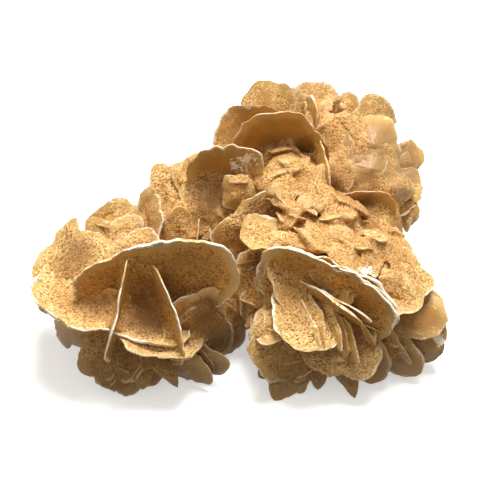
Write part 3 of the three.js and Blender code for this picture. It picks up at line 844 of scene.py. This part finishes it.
def sand_grains(pieces, rng):
    """Loose grains on the faces that look up, most of them in the hollows."""
    corners, weights = [], []
    for piece in pieces:
        triangles = np.empty(3 * len(piece.data.polygons), np.int32)
        piece.data.polygons.foreach_get("vertices", triangles)
        faces = corners_of(piece)[triangles].reshape(-1, 3, 3)
        normal = np.cross(faces[:, 1] - faces[:, 0], faces[:, 2] - faces[:, 0])
        fill = sampled(wide_fill, faces[:, 0])
        corners.append(faces)
        weights.append(np.clip(normal[:, 2], 0, None) * np.clip(fill - 0.25, 0.02, 0.3))
    corners = np.concatenate(corners)
    weights = np.concatenate(weights)
    chosen = corners[rng.choice(len(corners), GRAIN_COUNT, p=weights / weights.sum())]
    shares = rng.dirichlet((1, 1, 1), GRAIN_COUNT)
    places = (chosen * shares[:, :, None]).sum(axis=1)
    radius = rng.uniform(*GRAIN_RADIUS, (GRAIN_COUNT, 1, 1)) * rng.uniform(0.7, 1.3, (GRAIN_COUNT, 6, 1))
    turns = np.linalg.qr(rng.normal(size=(GRAIN_COUNT, 3, 3)))[0]
    points = places[:, None] + radius * (np.concatenate((np.eye(3), -np.eye(3))) @ turns)
    faces = [(0, 1, 2), (1, 3, 2), (3, 4, 2), (4, 0, 2), (1, 0, 5), (3, 1, 5), (4, 3, 5), (0, 4, 5)]
    triangles = np.array(faces) + 6 * np.arange(GRAIN_COUNT)[:, None, None]
    piece = new_object("sand_grains", points.reshape(-1, 3), triangles.reshape(-1, 3))
    finish_as_sand(piece)
    return piece


def main_blades():
    """Every blade of the tables and of the rosettes' far sides, by name, in the order they are numbered."""
    tables = {
        "left": LEFT_ROSETTE,
        "middle": MIDDLE,
        "back": BACK_ROSETTE,
        "right": RIGHT_ROSETTE,
        "foot": FEET,
    }
    rows = [(f"{name} {key}", row) for name, table in tables.items() for key, row in table.items()]
    rows += [(f"{name} far", row) for name, ring in FAR_RINGS.items() for row in far_blades(ring)]
    blades = []
    for index, (key, row) in enumerate(rows):
        start, end = from_picture(row.hub), from_picture(row.tip)
        facing = picture_direction(row.facing)
        blade = Blade(start, end, row.width, facing, row.blunt, row.thick, GOLDEN_ANGLE * index)
        blade.name = key
        blade.buried = key.startswith(BURIED)
        blade.finish = finish_of(key)
        blades.append(blade)
    return blades


def growths(blade, rng):
    """The sheets that a blade's edge has split into, and the scales on its broad sides."""
    sheets = range(blade.finish.sheets)
    scales = range(round(blade.size * blade.finish.scales))
    split = [blade.sheet(-SHEET_SPACING * (k + 1), rng.uniform(*SHEET_SIZE)) for k in sheets]
    return split + [blade.scale(rng) for k in scales]


def small_blade(place, along, facing, rng):
    """A small crystal that stands out of a place on the sand as a low ridge."""
    length = rng.uniform(*CRYSTAL_LENGTH)
    start = place - along * length * 0.75
    end = place + along * length * 0.25
    width = rng.uniform(*CRYSTAL_WIDTH)
    blunt = rng.uniform(*CRYSTAL_BLUNTNESS)
    blade = Blade(start, end, width, facing, blunt, CRYSTAL_THICKNESS, rng.uniform(0, 6))
    blade.finish = Finish(rng.uniform(0.6, 1), rng.uniform(0, 0.4), CRYSTAL_FILLET)
    return blade


def first_sand(bed, start, way):
    """Where a line from a point first meets the sand, or None."""
    steps = start + way * np.arange(0, SEARCH_LENGTH, VOXEL / 2)[:, None]
    hits = np.flatnonzero(sampled(bed.field, steps) < 0)
    return steps[hits[0]] if len(hits) else None


def small_blades(bed, rng):
    """Small crystals in the hollows all round the sandy lumps, and in clusters between the blades."""
    fill = bed.fill(WIDE_REACH)
    blades = []
    for at, radius in CORES:
        for k in range(int(radius * 3)):
            way = unit(rng.normal(size=3))
            inward = -unit(way + 0.3 * rng.normal(size=3))
            place = first_sand(bed, from_picture(at) + way * CORE_START, inward)
            along = unit(way + 0.5 * rng.normal(size=3))
            if place is not None and sampled(fill, place[None])[0] > HOLLOW_FILL:
                blades.append(small_blade(place, along, rng.normal(size=3), rng))
    for at, spread, count, way, facing in CLUSTERS:
        outward = unit(picture_direction(way))
        for k in range(count):
            start = from_picture(np.array(at) + rng.normal(size=3) * spread * 0.45) + CLUSTER_START * outward
            place = first_sand(bed, start, -outward)
            along = unit(outward + rng.normal(size=3) * 0.45)
            if place is not None:
                turned = picture_direction(facing) + 0.5 * rng.normal(size=3)
                blades.append(small_blade(place, along, turned, rng))
    return blades


rng = np.random.default_rng(5)
blades = main_blades()
bed = SandBed()
for at, radius in CORES:
    bed.lump(from_picture(at), CORE_SHARE * radius)
for blade in blades:
    bed.blade(blade)
for at, radius in DRIFTS:
    bed.lump(from_picture(at), radius)
bed.field += facets(bed, rng)
crystals = small_blades(bed, rng)
for blade in crystals:
    bed.blade(blade)

sand = sand_skin(bed)
pieces = [joined_lenses("small_crystals", crystals, 1), sand]
for seed, name in enumerate(("left", "middle", "back", "right", "foot"), 2):
    group = [blade for blade in blades if blade.name.startswith(name) and not blade.buried]
    grown = [growth for blade in group for growth in growths(blade, rng)]
    pieces.append(joined_lenses(f"{name}_blades", group, seed))
    if grown:
        pieces.append(joined_lenses(f"{name}_scales", grown, seed))

wide_fill = bed.fill(WIDE_REACH)
near_fill = bed.fill(NEAR_REACH)
pieces.append(sand_grains(pieces, rng))
spots = {"patch": CHALK_PATCHES, "dust": DUST_AND_SHADE, "clear": CLEAR, "facet": FACETS}
for piece in pieces:
    corners = corners_of(piece)
    give(piece, "wide_fill", sampled(wide_fill, corners))
    fill = sampled(near_fill, corners)
    give(piece, "near_fill", fill if piece == sand else np.maximum(fill, 0.5))
    for key, places in spots.items():
        away = [np.linalg.norm(corners - from_picture(at), axis=1) / width for at, width in places]
        give(piece, key, sum(np.exp(-distance**2) for distance in away))


class Nodes:
    """Short calls for building a material's nodes."""

    def __init__(self, name):
        self.material = bpy.data.materials.new(name)
        self.material.use_nodes = True
        self.tree = self.material.node_tree
        self.shader = self.tree.nodes["Principled BSDF"]

    def add(self, kind, inputs=(), **settings):
        node = self.tree.nodes.new(kind)
        for key, value in settings.items():
            setattr(node, key, value)
        for key, value in dict(inputs).items():
            self.feed(node.inputs[key], value)
        return node

    def feed(self, socket, value):
        if isinstance(value, bpy.types.NodeSocket):
            self.tree.links.new(value, socket)
        else:
            socket.default_value = value

    def attribute(self, name):
        return self.add("ShaderNodeAttribute", attribute_name=name).outputs["Fac"]

    def place(self):
        return self.add("ShaderNodeTexCoord").outputs["Object"]

    def noise(self, scale, detail=3.0, roughness=0.6):
        inputs = {"Vector": self.place(), "Scale": scale, "Detail": detail, "Roughness": roughness}
        return self.add("ShaderNodeTexNoise", inputs).outputs["Fac"]

    def cells(self, scale):
        return self.add("ShaderNodeTexVoronoi", {"Vector": self.place(), "Scale": scale})

    def channel(self, color, name):
        return self.add("ShaderNodeSeparateColor", {"Color": color}).outputs[name]

    def span(self, value, from_min, from_max, to_min=0.0, to_max=1.0):
        names = ("Value", "From Min", "From Max", "To Min", "To Max")
        inputs = dict(zip(names, (value, from_min, from_max, to_min, to_max)))
        return self.add("ShaderNodeMapRange", inputs, interpolation_type="SMOOTHSTEP").outputs["Result"]

    def math(self, operation, one, other):
        node = self.add("ShaderNodeMath", operation=operation)
        self.feed(node.inputs[0], one)
        self.feed(node.inputs[1], other)
        return node.outputs[0]

    def total(self, *values):
        result = values[0]
        for value in values[1:]:
            result = self.math("ADD", result, value)
        return result

    def mix(self, share, one, other):
        node = self.add("ShaderNodeMix", data_type="RGBA")
        self.feed(node.inputs["Factor"], share)
        self.feed(node.inputs["A"], one)
        self.feed(node.inputs["B"], other)
        return node.outputs["Result"]


def gypsum_material():
    n = Nodes("gypsum")
    rim, tone, sand_share, chalk_share = map(n.attribute, ("rim", "tone", "sand", "chalk"))
    wide, near = map(n.attribute, ("wide_fill", "near_fill"))
    patch, dust, clear, facet = map(n.attribute, ("patch", "dust", "clear", "facet"))
    patches = n.noise(70, 3)
    coarse = n.noise(330, 4)
    fine = n.noise(1500, 2)
    grain = n.cells(2300)
    grain_kind = n.channel(grain.outputs["Color"], "Red")
    normal = n.add("ShaderNodeNewGeometry").outputs["Normal"]
    up = n.add("ShaderNodeSeparateXYZ", {"Vector": normal}).outputs["Z"]

    # Clean crystal: honey, paler towards the thin edge as a painted glow of light through it, and darker
    # where it is thick.
    crystal = n.mix(n.span(rim, 0.4, 4.5), GLOWING_CRYSTAL_EDGE, CRYSTAL_MIDDLE)
    crystal = n.mix(n.span(tone, 0.5, 1.0, 0.0, 0.4), crystal, PALE_CRYSTAL)
    crystal = n.mix(n.span(clear, 0.1, 0.8, 0.0, 0.9), crystal, CLEAR_CRYSTAL)
    crystal = n.mix(n.span(coarse, 0.45, 0.75, 0.0, 0.5), crystal, AMBER_CRYSTAL)
    crystal = n.mix(n.span(patches, 0.45, 0.65, 0.0, 0.5), crystal, BROWN_CRYSTAL)

    # Dune sand: honey grains, in painted shade on steep faces and in painted light where a face looks up.
    shaded_steep_sand = n.mix(n.span(grain_kind, 0.1, 0.9), STEEP_SHADED_DARK, STEEP_SHADED_LIGHT)
    lit_level_sand = n.mix(n.span(grain_kind, 0.1, 0.9), LEVEL_LIT_DARK, LEVEL_LIT_LIGHT)
    sand = n.mix(n.span(up, 0.05, 0.75), shaded_steep_sand, lit_level_sand)
    sand = n.mix(n.span(patches, 0.4, 0.7, 0.0, 0.5), sand, ORANGE_SAND)
    # Dark grains, more of them away from the edges, in hollows and in the dusty places; in the hollows this
    # is painted shade.
    dark = n.total(
        n.span(grain_kind, 0.05, 0.35, 0.8, 0.0),
        n.span(coarse, 0.35, 0.65, -0.15, 0.15),
        n.span(wide, 0.35, 0.6, -0.1, 0.2),
        n.math("MULTIPLY", dust, 0.3),
        n.span(rim, 2.0, 9.0, -0.15, 0.2),
    )
    sand = n.mix(n.span(dark, 0.25, 0.7, 0.0, 0.8), sand, DARK_GRAIN)
    sand = n.mix(n.span(rim, 1.5, 9.0, 0.0, 0.5), sand, DEEP_SAND)

    # How far the sand covers the crystal.
    cover = n.total(
        n.math("MULTIPLY", n.span(rim, 0.5, 4.5, 0.15, 1.0), sand_share),
        n.span(up, -0.3, 0.8, -0.3, 0.4),
        n.span(wide, 0.5, 0.8, 0.0, 0.3),
        n.span(coarse, 0.3, 0.7, -0.3, 0.3),
        n.span(grain_kind, 0.0, 1.0, -0.2, 0.2),
        n.math("MULTIPLY", clear, -0.8),
    )
    surface = n.mix(n.span(cover, 0.35, 0.7), crystal, sand)

    # Painted shade darkens the hollows and creases, and dark dust with painted shade darkens a few other
    # places.
    surface = n.mix(n.span(wide, 0.42, 0.8, 0.0, 0.65), surface, HOLLOW_SHADE)
    surface = n.mix(n.span(near, 0.52, 0.85, 0.0, 0.6), surface, CREASE_SHADE)
    surface = n.mix(n.span(dust, 0.1, 1.0, 0.0, 0.6), surface, DARK_DUST_AND_SHADE)

    # The facets' ridges are worn pale, with a painted highlight along the crests.
    ridge = n.math("MULTIPLY", n.span(near, 0.2, 0.4, 0.4, 0.0), n.span(facet, 0.2, 0.7))
    surface = n.mix(ridge, surface, WORN_AND_LIT_RIDGE)

    # Low down the stone is darker, as painted shade near the ground.
    where = n.add("ShaderNodeSeparateXYZ", {"Vector": n.place()}).outputs["Z"]
    surface = n.mix(n.span(where, 0.004, 0.024, 0.65, 0.0), surface, DARK_SHADED_FOOT)

    # Chalky white along the blades' edges, worn away in places, and in patches.
    worn_away = n.total(n.span(patches, 0.4, 0.6, -0.55, 0.35), n.span(coarse, 0.35, 0.65, -0.45, 0.25))
    width = n.total(worn_away, n.span(fine, 0.3, 0.7, -0.3, 0.3), 0.42)
    worn = n.math("MULTIPLY", n.span(n.math("SUBTRACT", width, rim), -0.15, 0.2), chalk_share)
    blotches = n.total(patch, n.span(coarse, 0.3, 0.7, -0.5, 0.2), n.span(fine, 0.3, 0.7, -0.3, 0.2))
    white = n.math("MAXIMUM", worn, n.span(blotches, 0.4, 0.6))
    surface = n.mix(white, surface, WHITE_CHALK)

    n.feed(n.shader.inputs["Base Color"], surface)
    n.feed(n.shader.inputs["Roughness"], n.span(cover, 0.2, 0.8, 0.42, 0.9))
    n.shader.inputs["Subsurface Weight"].default_value = 0.2
    n.shader.inputs["Subsurface Radius"].default_value = (1.0, 0.45, 0.15)
    n.shader.inputs["Subsurface Scale"].default_value = 1.5 * MM
    grain_height = n.math("MULTIPLY", grain.outputs["Distance"], n.span(cover, 0.2, 0.8, -0.1, -0.8))
    height = n.total(grain_height, n.math("MULTIPLY", fine, 0.3), n.math("MULTIPLY", coarse, 0.5))
    bump = n.add("ShaderNodeBump", {"Strength": 0.55, "Distance": 0.35 * MM, "Height": height})
    n.feed(n.shader.inputs["Normal"], bump.outputs["Normal"])
    return n.material


gypsum = gypsum_material()
for piece in pieces:
    piece.data.materials.append(gypsum)
    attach(piece, "root")
    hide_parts("sand_rose")

# The floor, the light and the camera.
bpy.ops.mesh.primitive_plane_add(size=4)
floor = bpy.context.object
floor.name = "floor"
paper = Nodes("paper")
paper.shader.inputs["Base Color"].default_value = (0.8, 0.8, 0.8, 1)
paper.shader.inputs["Roughness"].default_value = 0.9
paper.shader.inputs["Emission Color"].default_value = (1, 1, 1, 1)
paper.shader.inputs["Emission Strength"].default_value = 0.45
floor.data.materials.append(paper.material)
floor.visible_diffuse = False

scene = bpy.context.scene
scene.view_settings.view_transform = "Standard"
world = bpy.data.worlds.new("sky")
world.use_nodes = True
sky = world.node_tree
place = sky.nodes.new("ShaderNodeTexCoord")
parts = sky.nodes.new("ShaderNodeSeparateXYZ")
strength = sky.nodes.new("ShaderNodeMapRange")
for key, value in zip(("From Min", "From Max", "To Min", "To Max"), (-SKY_EDGE, SKY_EDGE, *SKY_STRENGTH)):
    strength.inputs[key].default_value = value
sky.links.new(place.outputs["Generated"], parts.inputs["Vector"])
sky.links.new(parts.outputs["Z"], strength.inputs["Value"])
sky.links.new(strength.outputs["Result"], sky.nodes["Background"].inputs["Strength"])
sky.nodes["Background"].inputs["Color"].default_value = SKY_COLOR
scene.world = world

light = bpy.data.lights.new("window", "AREA")
light.size = WINDOW_SIZE
light.energy = WINDOW_POWER
window = bpy.data.objects.new("window", light)
window.location = WINDOW_PLACE
window.rotation_mode = "QUATERNION"
window.rotation_quaternion = Vector(WINDOW_PLACE).to_track_quat("Z", "Y")
scene.collection.objects.link(window)

camera = bpy.data.objects.new("camera", bpy.data.cameras.new("camera"))
towards = Vector((0, -math.cos(VIEW_ELEVATION), math.sin(VIEW_ELEVATION)))
camera.location = Vector(PICTURE_MIDDLE * MM) + towards * VIEW_DISTANCE * MM
camera.rotation_mode = "QUATERNION"
camera.rotation_quaternion = towards.to_track_quat("Z", "Y")
camera.data.sensor_width = 36
camera.data.lens = camera.data.sensor_width * VIEW_DISTANCE / PICTURE_WIDTH
camera.data.clip_start = 0.01
scene.collection.objects.link(camera)
scene.camera = camera

bpy.context.view_layer.update()
